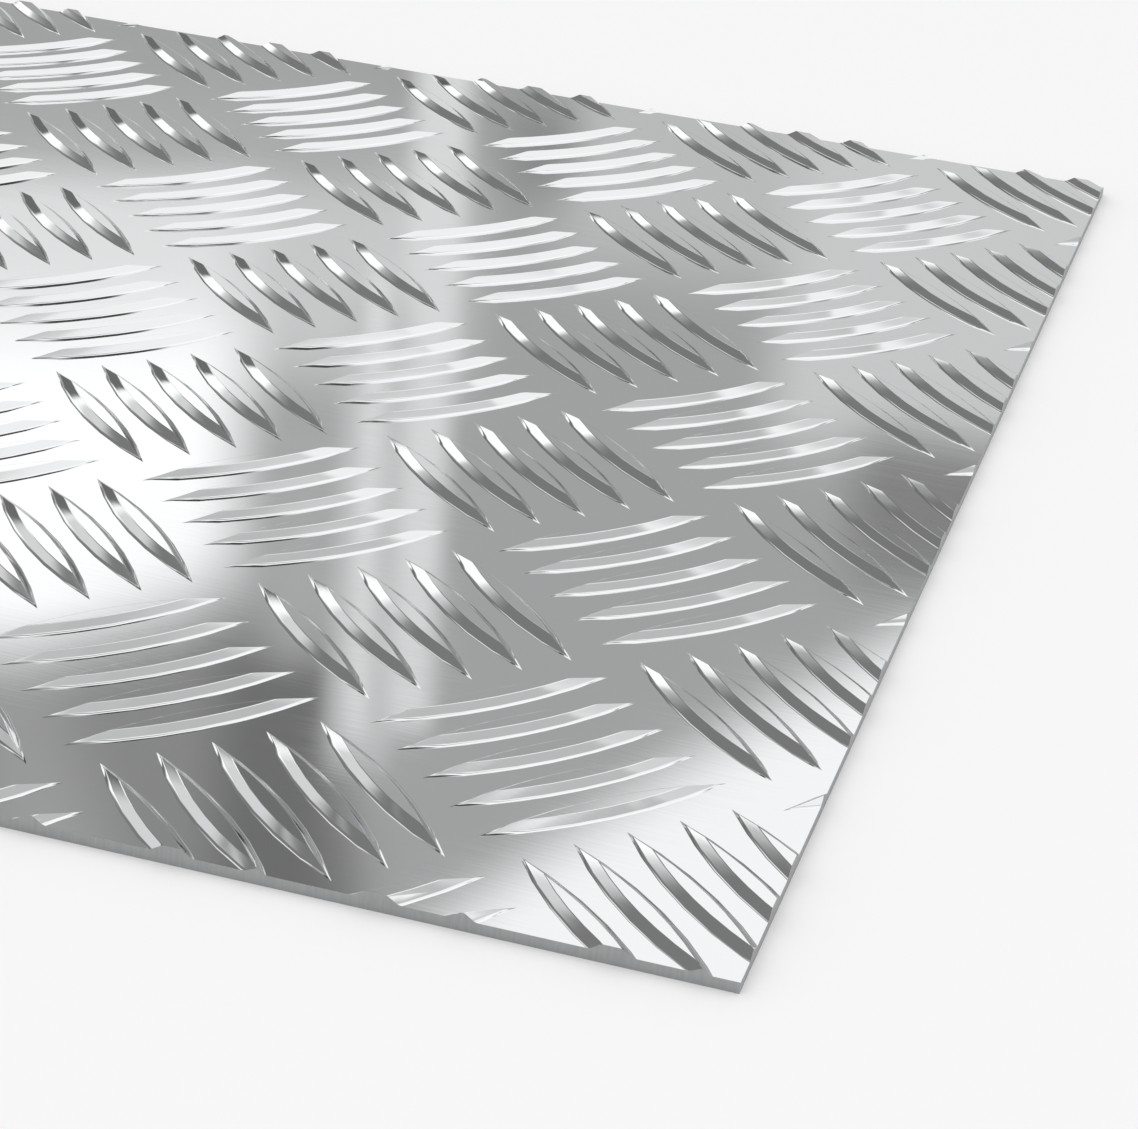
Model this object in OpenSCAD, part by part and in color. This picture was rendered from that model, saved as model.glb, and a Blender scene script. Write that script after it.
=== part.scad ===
// Embossed aluminium sheet with a five-bar tread pattern.
// A flat sheet with a plain underside. Lens-shaped bars stand on its upper side in blocks, each block
// turned a quarter against its neighbours, and the blocks lie like the fields of a chessboard that is
// turned on the sheet. The sheet is sawn from a larger one, so its edges cut through the bars.
// The sheet lies in the XY plane with its length along X, and Z is up. The origin is in the middle of
// the underside.

/* [Sheet] */
// Length of the sheet
sheet_len = 609.6; // [200:0.1:1300]
// Width of the sheet
sheet_wid = 304.8; // [150:0.1:700]
// Thickness between the bars
sheet_thk = 1.6; // [1:0.1:6]

/* [Bar] */
// Length of a bar at its foot, from tip to tip
bar_len = 35; // [28:0.5:42]
// Width of a bar at its foot, in the middle
bar_wid = 4.6; // [3.5:0.1:7]
// Height of a bar above the sheet
bar_rise = 1; // [0.5:0.1:1.8]
// How far a flank leans inwards on its way up
flank_run = 1.2; // [0.4:0.1:1.6]
// Facets in a full circle of the flanks' radius
flank_facets = 180; // [90:6:360]

/* [Pattern] */
// Bars in a block
block_bars = 5; // [1:1:5]
// Distance between the middles of neighbouring bars in a block
bar_pitch = 7.8; // [7:0.1:9]
// Distance between the middles of neighbouring blocks
block_pitch = 40; // [36:0.5:60]
// Turn of the pattern on the sheet, in degrees
pattern_turn = 45; // [0:5:90]
// Distance from the right end to the middle of the first block
first_block_x = 8.7; // [0:0.1:40]
// Distance from the near edge to the middle of the first block
first_block_y = 15; // [0:0.1:40]

/* [Hidden] */

// Each flank is a circular arc in plan, through both tips and the widest point of the foot
flank_r = (bar_len * bar_len / bar_wid + bar_wid) / 4;
flank_off = flank_r - bar_wid / 2;

// The first block's bars point down to the right, and its neighbours' bars up to the right
first_block = [sheet_len / 2 - first_block_x, first_block_y - sheet_wid / 2];
block_reach = ceil((sheet_len + sheet_wid) / block_pitch);

// Place of block (m, n) of the turned chessboard
function block_at(m, n) =
  first_block + block_pitch * [
    m * cos(pattern_turn) - n * sin(pattern_turn),
    m * sin(pattern_turn) + n * cos(pattern_turn)
  ];

// Direction of the bars in block (m, n), in degrees from X
function bar_turn(m, n) = pattern_turn - ((m + n) % 2 == 0 ? 90 : 0);

// Place of one bar, counted from the middle bar of its block
function bar_at(m, n, k) =
  block_at(m, n) + k * bar_pitch * [-sin(bar_turn(m, n)), cos(bar_turn(m, n))];

// True for a bar that can reach the sheet
function on_sheet(place) =
  abs(place[0]) < (sheet_len + bar_len) / 2 && abs(place[1]) < (sheet_wid + bar_len) / 2;

// Flat-topped bar between two leaning flanks that meet in a point at each tip
module bar() {
  intersection_for (side = [-1, 1])
    translate([0, side * flank_off, 0])
      cylinder(h = bar_rise, r1 = flank_r, r2 = flank_r - flank_run, $fn = flank_facets);
}

// All bars that lie on the sheet or across its edges
module bars() {
  mid_bar = (block_bars - 1) / 2;
  for (m = [-block_reach:block_reach], n = [-block_reach:block_reach], k = [-mid_bar:mid_bar]) {
    place = bar_at(m, n, k);
    if (on_sheet(place))
      translate([place[0], place[1], sheet_thk])
        rotate(bar_turn(m, n))
          bar();
  }
}

// Block over the sheet's outline, from the underside up
module blank(height) {
  translate([-sheet_len / 2, -sheet_wid / 2, 0])
    cube([sheet_len, sheet_wid, height]);
}

module tread_sheet() {
  color("#c6c8ca")
    intersection() {
      blank(sheet_thk + 2 * bar_rise);
      union() {
        blank(sheet_thk);
        bars();
      }
    }
}

tread_sheet();
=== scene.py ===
"""Studio picture of an embossed aluminium sheet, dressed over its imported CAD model."""
import logging
import math
from dataclasses import dataclass, field
from enum import Enum

import bpy
from mathutils import Matrix, Vector


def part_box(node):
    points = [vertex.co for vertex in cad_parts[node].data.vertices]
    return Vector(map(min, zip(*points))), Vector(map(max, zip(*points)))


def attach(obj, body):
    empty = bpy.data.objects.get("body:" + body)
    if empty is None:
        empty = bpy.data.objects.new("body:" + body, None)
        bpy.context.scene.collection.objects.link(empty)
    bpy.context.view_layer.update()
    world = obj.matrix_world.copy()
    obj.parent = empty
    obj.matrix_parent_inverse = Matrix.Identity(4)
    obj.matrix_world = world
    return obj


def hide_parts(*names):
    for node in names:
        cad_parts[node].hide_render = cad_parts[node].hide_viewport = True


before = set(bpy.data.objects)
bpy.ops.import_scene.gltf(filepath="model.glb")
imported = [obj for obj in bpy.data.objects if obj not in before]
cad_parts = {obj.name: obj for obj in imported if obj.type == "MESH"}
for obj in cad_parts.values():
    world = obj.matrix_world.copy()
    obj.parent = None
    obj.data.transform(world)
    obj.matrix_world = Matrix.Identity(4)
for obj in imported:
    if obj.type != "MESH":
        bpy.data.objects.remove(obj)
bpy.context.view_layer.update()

LOG = logging.getLogger("tread_sheet")
MM = 0.001
NODE = "tread_sheet"
BODY = "root"
UP = Vector((0.0, 0.0, 1.0))
WHITE = "#ffffff"


class Lean(Enum):
    """Direction of the bars in a block, in degrees from the sheet's length."""

    FALLING = -45.0
    RISING = 45.0


class Joining(Enum):
    """What another closed mesh does to the sheet: it is added, or all outside it is sawn off."""

    ADD = "UNION"
    SAW = "INTERSECT"


def linear(code: str) -> tuple[float, float, float, float]:
    """Turns an sRGB hex colour into linear light.

    Args:
        code: colour such as "#c6c8ca".

    Returns:
        Red, green and blue in linear light, and an alpha of 1.
    """
    shares = [int(code[i:i + 2], 16) / 255 for i in (1, 3, 5)]
    light = [s / 12.92 if s <= 0.04045 else ((s + 0.055) / 1.055) ** 2.4 for s in shares]
    return (*light, 1.0)


def grey(code: str) -> float:
    """Gives the linear level of a grey hex colour."""
    return linear(code)[0]


def add_node(tree: bpy.types.NodeTree, kind: str, inputs: dict[str | int, object] | None = None,
             **settings: object) -> bpy.types.Node:
    """Adds a node, sets it up and links it.

    Args:
        tree: node tree that gets the node.
        kind: type name of the node.
        inputs: socket name or number to a value, or to the output socket that feeds it.
        settings: attributes of the node itself.

    Returns:
        The new node.
    """
    node = tree.nodes.new(kind)
    for name, value in settings.items():
        setattr(node, name, value)
    for key, value in (inputs or {}).items():
        if isinstance(value, bpy.types.NodeSocket):
            tree.links.new(value, node.inputs[key])
        else:
            node.inputs[key].default_value = value
    return node


def start_material(name: str, metallic: float) -> tuple[bpy.types.Material, bpy.types.Node]:
    """Starts a material.

    Args:
        name: name of the new material.
        metallic: 1 for bare metal, 0 for anything else.

    Returns:
        The material and its shader.
    """
    material = bpy.data.materials.new(name)
    material.use_nodes = True
    shader = material.node_tree.nodes["Principled BSDF"]
    shader.inputs["Metallic"].default_value = metallic
    return material, shader


def take(piece: bpy.types.Object) -> None:
    """Selects one object alone and makes it the active one.

    Args:
        piece: the object.
    """
    bpy.ops.object.select_all(action="DESELECT")
    piece.select_set(True)
    bpy.context.view_layer.objects.active = piece


def apply_modifier(piece: bpy.types.Object, kind: str, **settings: object) -> None:
    """Adds a modifier to an object and applies it.

    Args:
        piece: object that the modifier changes.
        kind: type name of the modifier.
        settings: attributes of the modifier.
    """
    take(piece)
    bpy.ops.object.modifier_add(type=kind)
    modifier = piece.modifiers[-1]
    for name, value in settings.items():
        setattr(modifier, name, value)
    bpy.ops.object.modifier_apply(modifier=modifier.name)


def repeat(piece: bpy.types.Object, count: int, step: tuple[float, float, float]) -> None:
    """Copies what a mesh holds in a row.

    Args:
        piece: object with the mesh.
        count: how many there are afterwards.
        step: way from one to the next, in metres.
    """
    apply_modifier(piece, "ARRAY", count=count, use_relative_offset=False,
                   use_constant_offset=True, constant_offset_displace=step)


def add_box(name: str, low: Vector, high: Vector) -> bpy.types.Object:
    """Adds a box between two corners, with its place in its mesh.

    Args:
        name: name of the new object.
        low: lowest corner in metres.
        high: highest corner in metres.

    Returns:
        The new object.
    """
    bpy.ops.object.select_all(action="DESELECT")
    bpy.ops.mesh.primitive_cube_add(size=1, location=(low + high) / 2, scale=high - low)
    bpy.ops.object.transform_apply(location=True, rotation=True, scale=True)
    box = bpy.context.active_object
    box.name = name
    return box


@dataclass(frozen=True)
class Ring:
    """One level outline of a bar: how far it lies inside the foot, and how high above the sheet."""

    inset: float
    height: float


@dataclass(frozen=True)
class Bar:
    """Raised bar of the tread pattern, lens-shaped in plan, with leaning flanks and a flat crest.

    Sizes are in metres. Both flanks are arcs in plan, and each ring up the bar keeps their middles, so the
    flanks have one slope all along and meet in a ridge that runs down to a point at each tip.
    """

    foot_len: float = 35 * MM
    foot_wid: float = 4.6 * MM
    run: float = 1.2 * MM
    rise: float = 1 * MM
    # How far the hollow blend at the foot and the rounding at the crest reach along each face
    foot_blend: float = 0.3 * MM
    crest_blend: float = 0.08 * MM
    # How far the blend starts below the sheet's face, so that the two cross in a clean line
    sink: float = 0.012 * MM
    # How deep the bar reaches into the sheet before they are joined
    root_depth: float = 0.5 * MM
    arc_steps: int = 6
    weld_gap: float = 0.01 * MM

    @property
    def radius(self) -> float:
        """Gives the radius of a flank's foot in plan."""
        return (self.foot_len * self.foot_len / self.foot_wid + self.foot_wid) / 4

    @property
    def slope(self) -> float:
        """Gives the angle of a flank above the sheet, in radians."""
        return math.atan2(self.rise, self.run)

    def rings(self) -> list[Ring]:
        """Works out the bar's section from its root in the sheet up to the crest.

        Returns:
            Rings from below the sheet's face to the rim of the crest.
        """
        half = self.slope / 2
        blend_r = self.foot_blend / math.tan(half)
        mid = Ring(blend_r * math.sin(half) - self.foot_blend, blend_r * (1 - math.cos(half)))
        across, up = math.cos(self.slope), math.sin(self.slope)
        return [
            Ring(-self.foot_blend, -self.root_depth),
            Ring(-self.foot_blend, -self.sink),
            mid,
            Ring(self.foot_blend * across, self.foot_blend * up),
            Ring(self.run - self.crest_blend * across, self.rise - self.crest_blend * up),
            Ring(self.run + self.crest_blend, self.rise),
        ]

    def outline(self, ring: Ring) -> tuple[float, float]:
        """Gives the length and width of the lens at a ring.

        Args:
            ring: level outline of the bar.

        Returns:
            Length and width in metres.
        """
        middle = self.radius - self.foot_wid / 2
        radius = self.radius - ring.inset
        return 2 * math.sqrt(radius * radius - middle * middle), 2 * (radius - middle)

    def model(self) -> bpy.types.Object:
        """Models the bar on the origin along X, from its root below the sheet's face.

        Returns:
            The bar as a closed mesh.
        """
        rings = self.rings()
        length, width = self.outline(rings[0])
        radius = self.radius - rings[0].inset
        sweep = 2 * math.asin(length / 2 / radius)
        start = Vector((-length / 2, 0.0, rings[0].height))
        # A ring of points merged into one is the tip that the outline is spun from, there and back
        bpy.ops.object.select_all(action="DESELECT")
        bpy.ops.mesh.primitive_circle_add(vertices=3, radius=width, fill_type="NOTHING")
        bpy.ops.object.mode_set(mode="EDIT")
        bpy.ops.mesh.merge(type="CENTER")
        bpy.ops.transform.translate(value=start)
        for side in (1, -1):
            centre = (0.0, side * (radius - width / 2), start.z)
            bpy.ops.mesh.spin(steps=self.arc_steps, angle=-sweep, center=centre, axis=UP)
        bpy.ops.mesh.select_all(action="SELECT")
        bpy.ops.mesh.remove_doubles(threshold=self.weld_gap)
        bpy.ops.mesh.edge_face_add()
        for below, above in zip(rings, rings[1:]):
            self.raise_ring(below, above)
        bpy.ops.mesh.select_all(action="SELECT")
        bpy.ops.mesh.normals_make_consistent(inside=False)
        bpy.ops.object.mode_set(mode="OBJECT")
        return bpy.context.active_object

    def raise_ring(self, below: Ring, above: Ring) -> None:
        """Extrudes the selected face from one ring up to the next and fits it to that outline.

        Args:
            below: ring that the face is at.
            above: ring that it moves to.
        """
        (old_len, old_wid), (new_len, new_wid) = self.outline(below), self.outline(above)
        step = (0.0, 0.0, above.height - below.height)
        bpy.ops.mesh.extrude_region_move(TRANSFORM_OT_translate={"value": step})
        share = (new_len / old_len, new_wid / old_wid, 1.0)
        bpy.ops.transform.resize(value=share, center_override=(0.0, 0.0, above.height))


@dataclass
class TreadSheet:
    """The embossed sheet: a flat blank with the tread pattern on top, sawn to size through the bars."""

    low: Vector
    high: Vector
    bar: Bar = field(default_factory=Bar)
    block_bars: int = 5
    bar_pitch: float = 7.8 * MM
    block_pitch: float = 40 * MM
    first_block_x: float = 8.7 * MM
    first_block_y: float = 15 * MM
    # Rows and columns beyond the sheet's own, for the blocks that its edges cut
    spare_blocks: int = 2
    saw_margin: float = 30 * MM
    weld_gap: float = 0.005 * MM
    level_gap: float = 0.002 * MM
    # A face whose normal rises less than this is a sawn one
    upright_limit: float = 0.1
    smooth_angle: float = math.radians(35)

    @property
    def face_z(self) -> float:
        """Gives the height of the flat face between the bars."""
        return self.high.z - self.bar.rise

    @property
    def cell(self) -> float:
        """Gives the distance between like blocks along the sheet and across it."""
        return self.block_pitch * math.sqrt(2)

    def model_blocks(self, lean: Lean, first: Vector) -> bpy.types.Object:
        """Models all blocks of one lean: a bar, copied to a block, copied to rows and columns.

        Args:
            lean: direction of the bars.
            first: middle of the first block, from which the rows run left and back.

        Returns:
            The bars of these blocks as one mesh.
        """
        blocks = self.bar.model()
        blocks.name = f"bars_{lean.name.lower()}"
        repeat(blocks, self.block_bars, (0.0, self.bar_pitch, 0.0))
        mid_bar = (self.block_bars - 1) / 2
        centring = Matrix.Translation((0.0, -mid_bar * self.bar_pitch, 0.0))
        turn = Matrix.Rotation(math.radians(lean.value), 4, "Z")
        blocks.matrix_world = Matrix.Translation(first) @ turn @ centring
        bpy.ops.object.transform_apply(location=True, rotation=True, scale=True)
        size = self.high - self.low
        for length, step in ((size.x, (-self.cell, 0.0, 0.0)), (size.y, (0.0, self.cell, 0.0))):
            repeat(blocks, math.ceil(length / self.cell) + self.spare_blocks, step)
        return blocks

    def model(self) -> bpy.types.Object:
        """Models the sheet: blank, bars, one solid of both, and the saw cuts.

        Returns:
            The finished mesh, one closed solid.
        """
        margin = Vector((self.saw_margin, self.saw_margin, 0.0))
        blank_high = Vector((self.high.x, self.high.y, self.face_z))
        sheet = add_box("embossed_sheet", self.low - margin, blank_high + margin)
        corner = Vector((self.high.x - self.first_block_x, self.low.y + self.first_block_y, self.face_z))
        half = Vector((self.cell / 2, -self.cell / 2, 0.0))
        for lean, first in ((Lean.FALLING, corner), (Lean.RISING, corner + half)):
            self.combine(sheet, self.model_blocks(lean, first), Joining.ADD)
        room = self.bar.rise * UP
        self.combine(sheet, add_box("saw", self.low - room, self.high + room), Joining.SAW)
        take(sheet)
        bpy.ops.object.mode_set(mode="EDIT")
        bpy.ops.mesh.select_all(action="SELECT")
        bpy.ops.mesh.remove_doubles(threshold=self.weld_gap)
        bpy.ops.object.mode_set(mode="OBJECT")
        return sheet

    @staticmethod
    def combine(sheet: bpy.types.Object, other: bpy.types.Object, how: Joining) -> None:
        """Joins another closed mesh to the sheet, or saws the sheet to it, and removes the other.

        Args:
            sheet: mesh that stays.
            other: mesh that is used up.
            how: what the other does to the sheet.
        """
        apply_modifier(sheet, "BOOLEAN", operation=how.value, object=other, solver="MANIFOLD")
        bpy.data.objects.remove(other, do_unlink=True)

    def dress(self, sheet: bpy.types.Object) -> None:
        """Gives the sheet its finishes and its shading.

        Args:
            sheet: the finished mesh.
        """
        sheet.data.materials.clear()
        sheet.data.materials.append(MillFinish().build())
        sheet.data.materials.append(SawnFinish().build())
        for face in sheet.data.polygons:
            face.material_index = 1 if abs(face.normal.z) < self.upright_limit else 0
        take(sheet)
        bpy.ops.object.shade_smooth_by_angle(angle=self.smooth_angle)
        # The rims of the flat face and of the crests are sharp, so that both mirror as flat planes
        corners = sheet.data.vertices
        for edge in sheet.data.edges:
            ends = [corners[i].co.z for i in edge.vertices]
            for level in (self.face_z, self.high.z):
                if all(abs(z - level) < self.level_gap for z in ends):
                    edge.use_edge_sharp = True
        apply_modifier(sheet, "WEIGHTED_NORMAL", keep_sharp=True)


@dataclass(frozen=True)
class MillFinish:
    """Bright mill finish of rolled aluminium.

    Polished rolls leave it nearly a mirror, with faint grain lines along the rolling direction and a
    slight haze that comes and goes over a few centimetres. Real grain lines are finer than a pixel of the
    picture, so they are drawn coarser, 0.5 mm wide, to show at all.
    """

    name: str = "aluminium_mill_finish"
    colour: str = "#eff0f1"
    roughness: float = 0.045
    roughness_spread: float = 0.03
    grain_len: float = 40 * MM
    grain_wid: float = 0.5 * MM
    grain_depth: float = 0.0005 * MM
    haze_size: float = 25 * MM
    # Range of grain times haze that the spread of the roughness is laid over
    pattern_low: float = 0.1
    pattern_high: float = 0.4

    def build(self) -> bpy.types.Material:
        """Builds the material.

        Returns:
            The new material.
        """
        material, shader = start_material(self.name, metallic=1.0)
        tree = material.node_tree
        place = add_node(tree, "ShaderNodeTexCoord").outputs["Object"]
        stretch = (1 / self.grain_len, 1 / self.grain_wid, 1 / self.grain_wid)
        drawn = add_node(tree, "ShaderNodeMapping", {"Vector": place, "Scale": stretch}).outputs[0]
        lines = {"Vector": drawn, "Scale": 1.0, "Detail": 1.0}
        grain = add_node(tree, "ShaderNodeTexNoise", lines).outputs[0]
        patches = {"Vector": place, "Scale": 1 / self.haze_size, "Detail": 1.0}
        haze = add_node(tree, "ShaderNodeTexNoise", patches).outputs[0]
        both = add_node(tree, "ShaderNodeMath", {0: grain, 1: haze}, operation="MULTIPLY").outputs[0]
        low = self.roughness - self.roughness_spread / 2
        high = self.roughness + self.roughness_spread / 2
        spread = {0: both, 1: self.pattern_low, 2: self.pattern_high, 3: low, 4: high}
        dull = add_node(tree, "ShaderNodeMapRange", spread).outputs[0]
        tree.links.new(dull, shader.inputs["Roughness"])
        relief = add_node(tree, "ShaderNodeBump", {"Height": grain, "Distance": self.grain_depth})
        tree.links.new(relief.outputs[0], shader.inputs["Normal"])
        shader.inputs["Base Color"].default_value = linear(self.colour)
        return material


@dataclass(frozen=True)
class SawnFinish:
    """Sawn edge of the aluminium sheet.

    The saw tears the metal a little, which leaves it matt and an even grey with fine upright marks. They
    are drawn coarser than real saw marks, 0.4 mm wide, so that they show.
    """

    name: str = "aluminium_sawn_edge"
    colour: str = "#b8b9ba"
    mark_colour: str = "#a2a3a4"
    roughness: float = 0.5
    mark_wid: float = 0.4 * MM
    mark_len: float = 4 * MM
    mark_depth: float = 0.02 * MM

    def build(self) -> bpy.types.Material:
        """Builds the material.

        Returns:
            The new material.
        """
        material, shader = start_material(self.name, metallic=1.0)
        tree = material.node_tree
        place = add_node(tree, "ShaderNodeTexCoord").outputs["Object"]
        stretch = (1 / self.mark_wid, 1 / self.mark_wid, 1 / self.mark_len)
        upright = add_node(tree, "ShaderNodeMapping", {"Vector": place, "Scale": stretch}).outputs[0]
        lines = {"Vector": upright, "Scale": 1.0, "Detail": 2.0}
        marks = add_node(tree, "ShaderNodeTexNoise", lines).outputs[0]
        tones = {0: marks, 6: linear(self.mark_colour), 7: linear(self.colour)}
        shade = add_node(tree, "ShaderNodeMix", tones, data_type="RGBA").outputs[2]
        tree.links.new(shade, shader.inputs["Base Color"])
        relief = add_node(tree, "ShaderNodeBump", {"Height": marks, "Distance": self.mark_depth})
        tree.links.new(relief.outputs[0], shader.inputs["Normal"])
        shader.inputs["Roughness"].default_value = self.roughness
        return material


@dataclass(frozen=True)
class SoftPanel:
    """Soft-edged rectangle on the studio dome, in degrees seen from the sheet.

    The bearing runs from +Y, about ahead of the camera, round to the left. The edge fades out over twice
    the softness, and the tilt turns the panel about its middle.
    """

    bearing: float
    height: float
    half_wid: float
    half_high: float
    tone: str
    soft: float = 1.0
    tilt: float = 0.0


# These two reach over more than one side of the dome
TOP_LIGHT = SoftPanel(0, 87, 200, 7, "#e8e8e8", soft=4)
CORNER_SCREEN = SoftPanel(34, 33, 8, 9, "#6c6c6c", soft=3)


@dataclass(frozen=True)
class Studio:
    """Floor and dome of light round the sheet.

    The dome is a grey wall with soft panels in four sides, each panel over the ones before it. A ray works
    through the panels of its own side alone, which keeps the picture quick.
    """

    floor_side: float = 16.0
    floor_colour: str = "#f8f8f8"
    floor_roughness: float = 0.9
    wall: str = "#9f9f9f"
    fill: str = WHITE
    dome_gain: float = 1.15
    # Bearings at which the left, the right and the back begin
    left_from: float = 36.0
    right_from: float = -31.0
    back_from: float = 135.0
    # In the picture, the flat face and the crests mirror the side ahead
    ahead: tuple[SoftPanel, ...] = (
        TOP_LIGHT,
        SoftPanel(-8, 54, 29, 13, "#fafafa", soft=4),
        SoftPanel(-20, 24, 9, 4.5, WHITE, soft=2),
        CORNER_SCREEN,
        SoftPanel(17.7, 42.6, 4, 11, "#444444", soft=1, tilt=24),
        SoftPanel(7, 9, 9, 7, "#8e8e8e", soft=3),
        SoftPanel(25, 8, 8, 7, "#d8d8d8", soft=3),
        SoftPanel(8.2, 34.5, 9.5, 6, "#f4f4f4", soft=0.8, tilt=34),
        SoftPanel(18.8, 21.6, 2.4, 1.8, "#c6c6c6", soft=0.9),
        SoftPanel(26, 21.5, 5.6, 1.6, "#dedede", soft=0.9),
        SoftPanel(22, 19.3, 4, 0.7, "#a8a8a8", soft=0.6),
        SoftPanel(12.5, 19.3, 2.4, 1.9, "#b8b8b8", soft=0.8),
        SoftPanel(7.2, 20.8, 3.4, 3, "#c6c6c6", soft=0.7),
        SoftPanel(7.2, 24.8, 1.7, 1.3, "#808080", soft=0.7),
        SoftPanel(25.6, 25.3, 5.2, 2.8, WHITE, soft=1),
        SoftPanel(20.8, 30.5, 2.2, 3.1, "#868686", soft=1.2, tilt=26),
        SoftPanel(19.4, 30.5, 1.2, 2.8, "#6c6c6c", soft=0.8),
        SoftPanel(19.2, 26.2, 0.6, 2, "#a6a6a6", soft=0.6),
        SoftPanel(17, 23.3, 0.5, 6, "#d6d6d6", soft=0.3),
        SoftPanel(17.9, 26, 0.6, 4, "#bebebe", soft=0.3),
        SoftPanel(17.95, 25.5, 0.2, 4, "#d8d8d8", soft=0.2),
        SoftPanel(15.2, 19.3, 0.6, 0.8, "#888888", soft=0.6),
    )
    # The bars' flanks mirror the left and the right
    left: tuple[SoftPanel, ...] = (
        TOP_LIGHT,
        SoftPanel(100, 70, 34, 9, "#f0f0f0", soft=4),
        SoftPanel(70, 45, 27, 13, "#767676", soft=2.5),
        SoftPanel(55.5, 14.9, 8.5, 6.4, "#686868", soft=1.4),
        SoftPanel(72, 25.4, 12.5, 5, "#d2d2d2", soft=1.8, tilt=10),
        SoftPanel(55.6, 25.2, 8.2, 4, WHITE, soft=1.1, tilt=-12),
        SoftPanel(82.5, 34, 2.5, 1.5, "#c0c0c0", soft=2),
        SoftPanel(87, 49.6, 5, 1.4, "#f2f2f2", soft=1.2, tilt=-26),
        SoftPanel(50.2, 22.6, 1.7, 1.7, "#5c5c5c", soft=0.8),
        CORNER_SCREEN,
        SoftPanel(43, 44, 6, 4, "#e4e4e4", soft=2),
    )
    right: tuple[SoftPanel, ...] = (
        TOP_LIGHT,
        SoftPanel(-85, 60, 60, 27, "#f0f0f0", soft=8),
        SoftPanel(-85, 66.6, 25, 3.6, "#cccccc", soft=1.5, tilt=-30),
        SoftPanel(-87, 63, 23, 4.6, "#b8b8b8", soft=1.5, tilt=-30),
        SoftPanel(-107, 71, 8, 5.4, "#bcbcbc", soft=2, tilt=-8),
        SoftPanel(-60, 45.5, 10, 4, "#d0d0d0", soft=2, tilt=-10),
        SoftPanel(-74, 49.5, 3.5, 1.4, "#fafafa", soft=1.2, tilt=-36),
        SoftPanel(-114, 64.5, 4, 3, "#808080", soft=2),
        SoftPanel(-104, 24, 12, 5, WHITE, soft=2),
        SoftPanel(-105, 9, 22, 6, "#6a6a6a", soft=2),
    )
    # The back makes the bars show in views from the other sides
    back: tuple[SoftPanel, ...] = (
        SoftPanel(180, 68, 50, 18, "#f0f0f0", soft=4),
        SoftPanel(166, 42, 25, 8, "#7a7a7a", soft=6),
        SoftPanel(152, 25, 10, 5, WHITE, soft=2),
        SoftPanel(157, 9, 19, 6, "#6a6a6a", soft=3),
    )

    def build_floor(self) -> bpy.types.Object:
        """Lays the pale floor under the sheet.

        Returns:
            The floor.
        """
        bpy.ops.object.select_all(action="DESELECT")
        bpy.ops.mesh.primitive_plane_add(size=self.floor_side)
        floor = bpy.context.active_object
        floor.name = "floor"
        material, shader = start_material("pale_floor", metallic=0.0)
        shader.inputs["Base Color"].default_value = linear(self.floor_colour)
        shader.inputs["Roughness"].default_value = self.floor_roughness
        floor.data.materials.append(material)
        return floor

    def build_dome(self) -> bpy.types.World:
        """Builds the dome round the sheet.

        Rays that the metal mirrors see the panels. All others see plain white light, so the panels leave no
        patches on the floor.

        Returns:
            The world with the dome.
        """
        world = bpy.data.worlds.new("studio_dome")
        bpy.context.scene.world = world
        world.use_nodes = True
        # The light on matt surfaces is even, so the slow map of the dome's brightness isn't needed
        world.cycles.sampling_method = "NONE"
        tree = world.node_tree
        ray = add_node(tree, "ShaderNodeTexCoord").outputs["Generated"]
        left_handed = {0: ray, 1: (-1.0, 1.0, 1.0)}
        turned = add_node(tree, "ShaderNodeVectorMath", left_handed, operation="MULTIPLY").outputs[0]
        axes = add_node(tree, "ShaderNodeSeparateXYZ", {0: turned}).outputs
        plan = {0: axes[0], 1: axes[1]}
        bearing = add_node(tree, "ShaderNodeMath", plan, operation="ARCTAN2").outputs[0]
        height = add_node(tree, "ShaderNodeMath", {0: axes[2]}, operation="ARCSINE").outputs[0]
        both = add_node(tree, "ShaderNodeCombineXYZ", {0: bearing, 1: height}).outputs[0]
        degrees = {0: both, "Scale": math.degrees(1)}
        spot = add_node(tree, "ShaderNodeVectorMath", degrees, operation="SCALE").outputs[0]
        # The back reads the bearing without its sign, so that it has no seam straight behind
        either = add_node(tree, "ShaderNodeMath", {0: bearing}, operation="ABSOLUTE").outputs[0]
        folded = add_node(tree, "ShaderNodeVectorMath", {0: spot}, operation="ABSOLUTE").outputs[0]
        glow = self.light_side(tree, spot, self.ahead)
        for panels, where, turn, edge, test in (
                (self.left, spot, bearing, self.left_from, "GREATER_THAN"),
                (self.right, spot, bearing, self.right_from, "LESS_THAN"),
                (self.back, folded, either, self.back_from, "GREATER_THAN")):
            limit = {0: turn, 1: math.radians(edge)}
            beyond = add_node(tree, "ShaderNodeMath", limit, operation=test).outputs[0]
            side = self.light_side(tree, where, panels)
            glow = add_node(tree, "ShaderNodeMixShader", {0: beyond, 1: glow, 2: side}).outputs[0]
        even = {"Color": linear(self.fill), "Strength": 1.0}
        plain = add_node(tree, "ShaderNodeBackground", even).outputs[0]
        mirrored = add_node(tree, "ShaderNodeLightPath").outputs["Is Glossy Ray"]
        dome = add_node(tree, "ShaderNodeMixShader", {0: mirrored, 1: plain, 2: glow}).outputs[0]
        tree.links.new(dome, tree.nodes["World Output"].inputs["Surface"])
        return world

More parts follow.
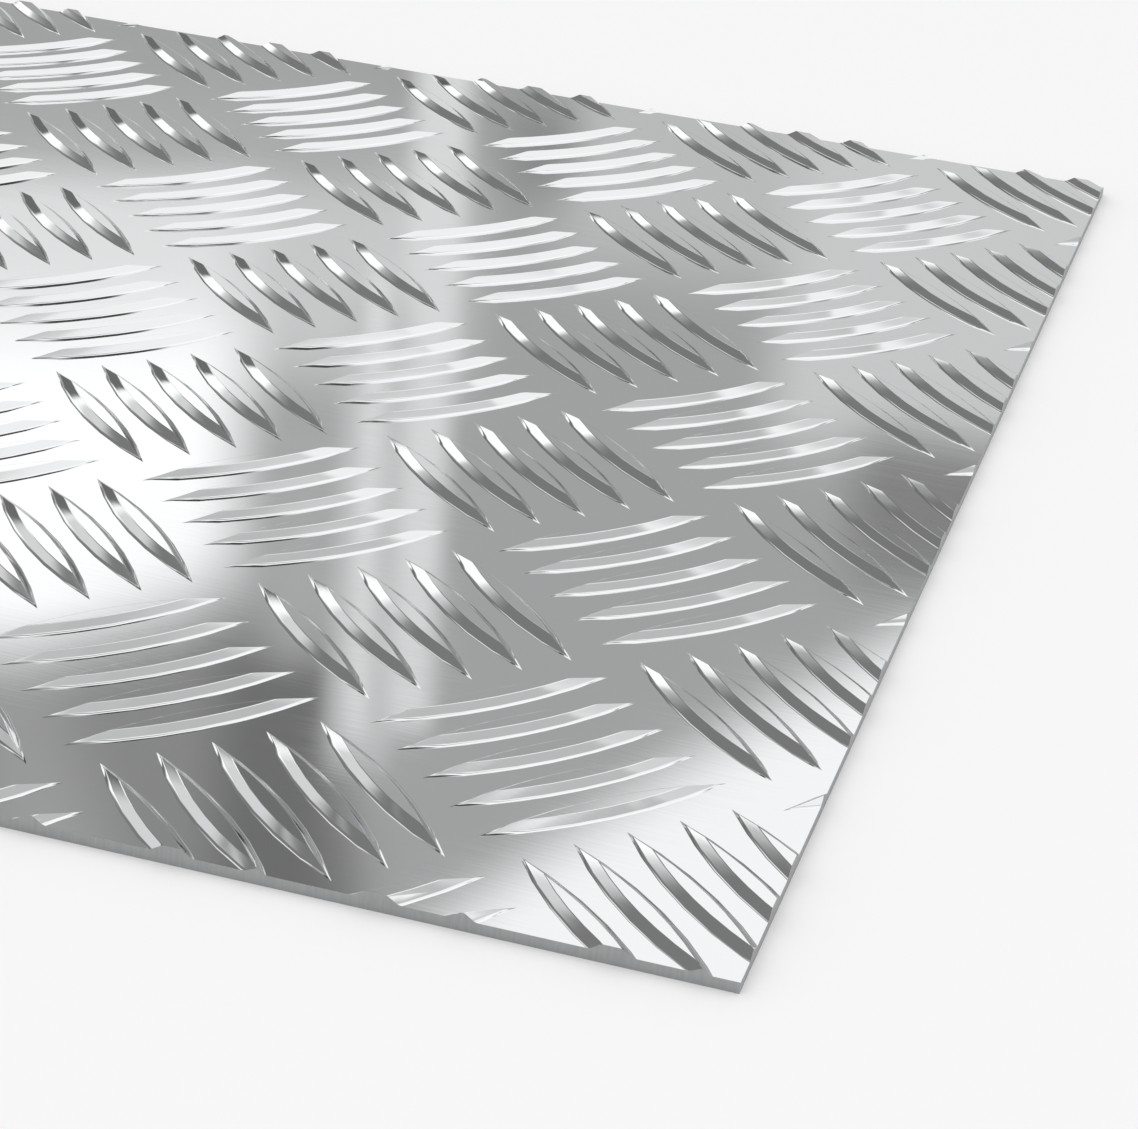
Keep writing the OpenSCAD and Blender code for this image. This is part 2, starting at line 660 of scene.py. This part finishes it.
    def light_side(self, tree: bpy.types.NodeTree, spot: bpy.types.NodeSocket,
                   panels: tuple[SoftPanel, ...]) -> bpy.types.NodeSocket:
        """Lights one side of the dome: its panels on the grey wall.

        Args:
            tree: node tree of the world.
            spot: bearing and height on the dome, in degrees.
            panels: panels of this side, each over the ones before it.

        Returns:
            Shader of this side.
        """
        level: bpy.types.NodeSocket | float = grey(self.wall)
        for panel in panels:
            level = self.add_panel(tree, spot, panel, level)
        gain = {0: level, 1: self.dome_gain}
        light = add_node(tree, "ShaderNodeMath", gain, operation="MULTIPLY").outputs[0]
        lit = {"Color": linear(WHITE), "Strength": light}
        return add_node(tree, "ShaderNodeBackground", lit).outputs[0]

    @staticmethod
    def add_panel(tree: bpy.types.NodeTree, spot: bpy.types.NodeSocket, panel: SoftPanel,
                  level: bpy.types.NodeSocket | float) -> bpy.types.NodeSocket:
        """Lays one soft panel over the dome.

        Args:
            tree: node tree of the world.
            spot: bearing and height on the dome, in degrees.
            panel: the panel.
            level: light of the dome so far.

        Returns:
            Light of the dome with the panel on it.
        """
        centre = {0: spot, 1: (panel.bearing, panel.height, 0.0)}
        away = add_node(tree, "ShaderNodeVectorMath", centre, operation="SUBTRACT").outputs[0]
        if panel.tilt:
            turn = {"Vector": away, "Angle": -math.radians(panel.tilt)}
            away = add_node(tree, "ShaderNodeVectorRotate", turn, rotation_type="Z_AXIS").outputs[0]
        apart = add_node(tree, "ShaderNodeVectorMath", {0: away}, operation="ABSOLUTE").outputs[0]
        outer = (panel.half_wid + panel.soft, panel.half_high + panel.soft, 1.0)
        inner = (panel.half_wid - panel.soft, panel.half_high - panel.soft, 0.0)
        fade = add_node(tree, "ShaderNodeMapRange", {"Vector": apart, 7: outer, 8: inner},
                        data_type="FLOAT_VECTOR", interpolation_type="SMOOTHSTEP").outputs["Vector"]
        sides = add_node(tree, "ShaderNodeSeparateXYZ", {0: fade}).outputs
        inside = {0: sides[0], 1: sides[1]}
        mask = add_node(tree, "ShaderNodeMath", inside, operation="MULTIPLY").outputs[0]
        return add_node(tree, "ShaderNodeMix", {0: mask, 2: level, 3: grey(panel.tone)}).outputs[0]


@dataclass(frozen=True)
class StudioCamera:
    """Camera at the photograph's viewing angle, beyond the near right corner of the sheet.

    Place, aim, lens and sensor are in millimetres, and the roll is in degrees, counter-clockwise about the
    view.
    """

    place: tuple[float, float, float] = (362.83, -485.14, 221.07)
    aim: tuple[float, float, float] = (254.8, -54.0, 1.6)
    lens: float = 106.5
    sensor_wid: float = 36.0
    roll: float = 4.98

    def build(self) -> bpy.types.Object:
        """Builds the camera and makes it the scene's own.

        Returns:
            The camera.
        """
        data = bpy.data.cameras.new("camera")
        data.lens = self.lens
        data.sensor_width = self.sensor_wid
        camera = bpy.data.objects.new("camera", data)
        bpy.context.collection.objects.link(camera)
        place, aim = Vector(self.place) * MM, Vector(self.aim) * MM
        turn = (aim - place).to_track_quat("-Z", "Y").to_matrix().to_4x4()
        roll = Matrix.Rotation(math.radians(self.roll), 4, "Z")
        camera.matrix_world = Matrix.Translation(place) @ turn @ roll
        bpy.context.scene.camera = camera
        return camera


def main() -> None:
    """Builds the sheet and its studio, and reports each piece."""
    logging.basicConfig(level=logging.INFO, format="%(name)s: %(message)s")
    low, high = (Vector(corner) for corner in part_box(NODE))
    sheet = TreadSheet(low, high)
    body = sheet.model()
    sheet.dress(body)
    mesh = body.data
    mesh.calc_loop_triangles()
    LOG.info("%s: %d faces, %d triangles", body.name, len(mesh.polygons), len(mesh.loop_triangles))
    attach(body, BODY)
    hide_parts(NODE)
    studio = Studio()
    for piece in (studio.build_floor(), studio.build_dome(), StudioCamera().build()):
        LOG.info("%s: placed", piece.name)
    bpy.context.scene.view_settings.view_transform = "Standard"


if __name__ == "__main__":
    main()
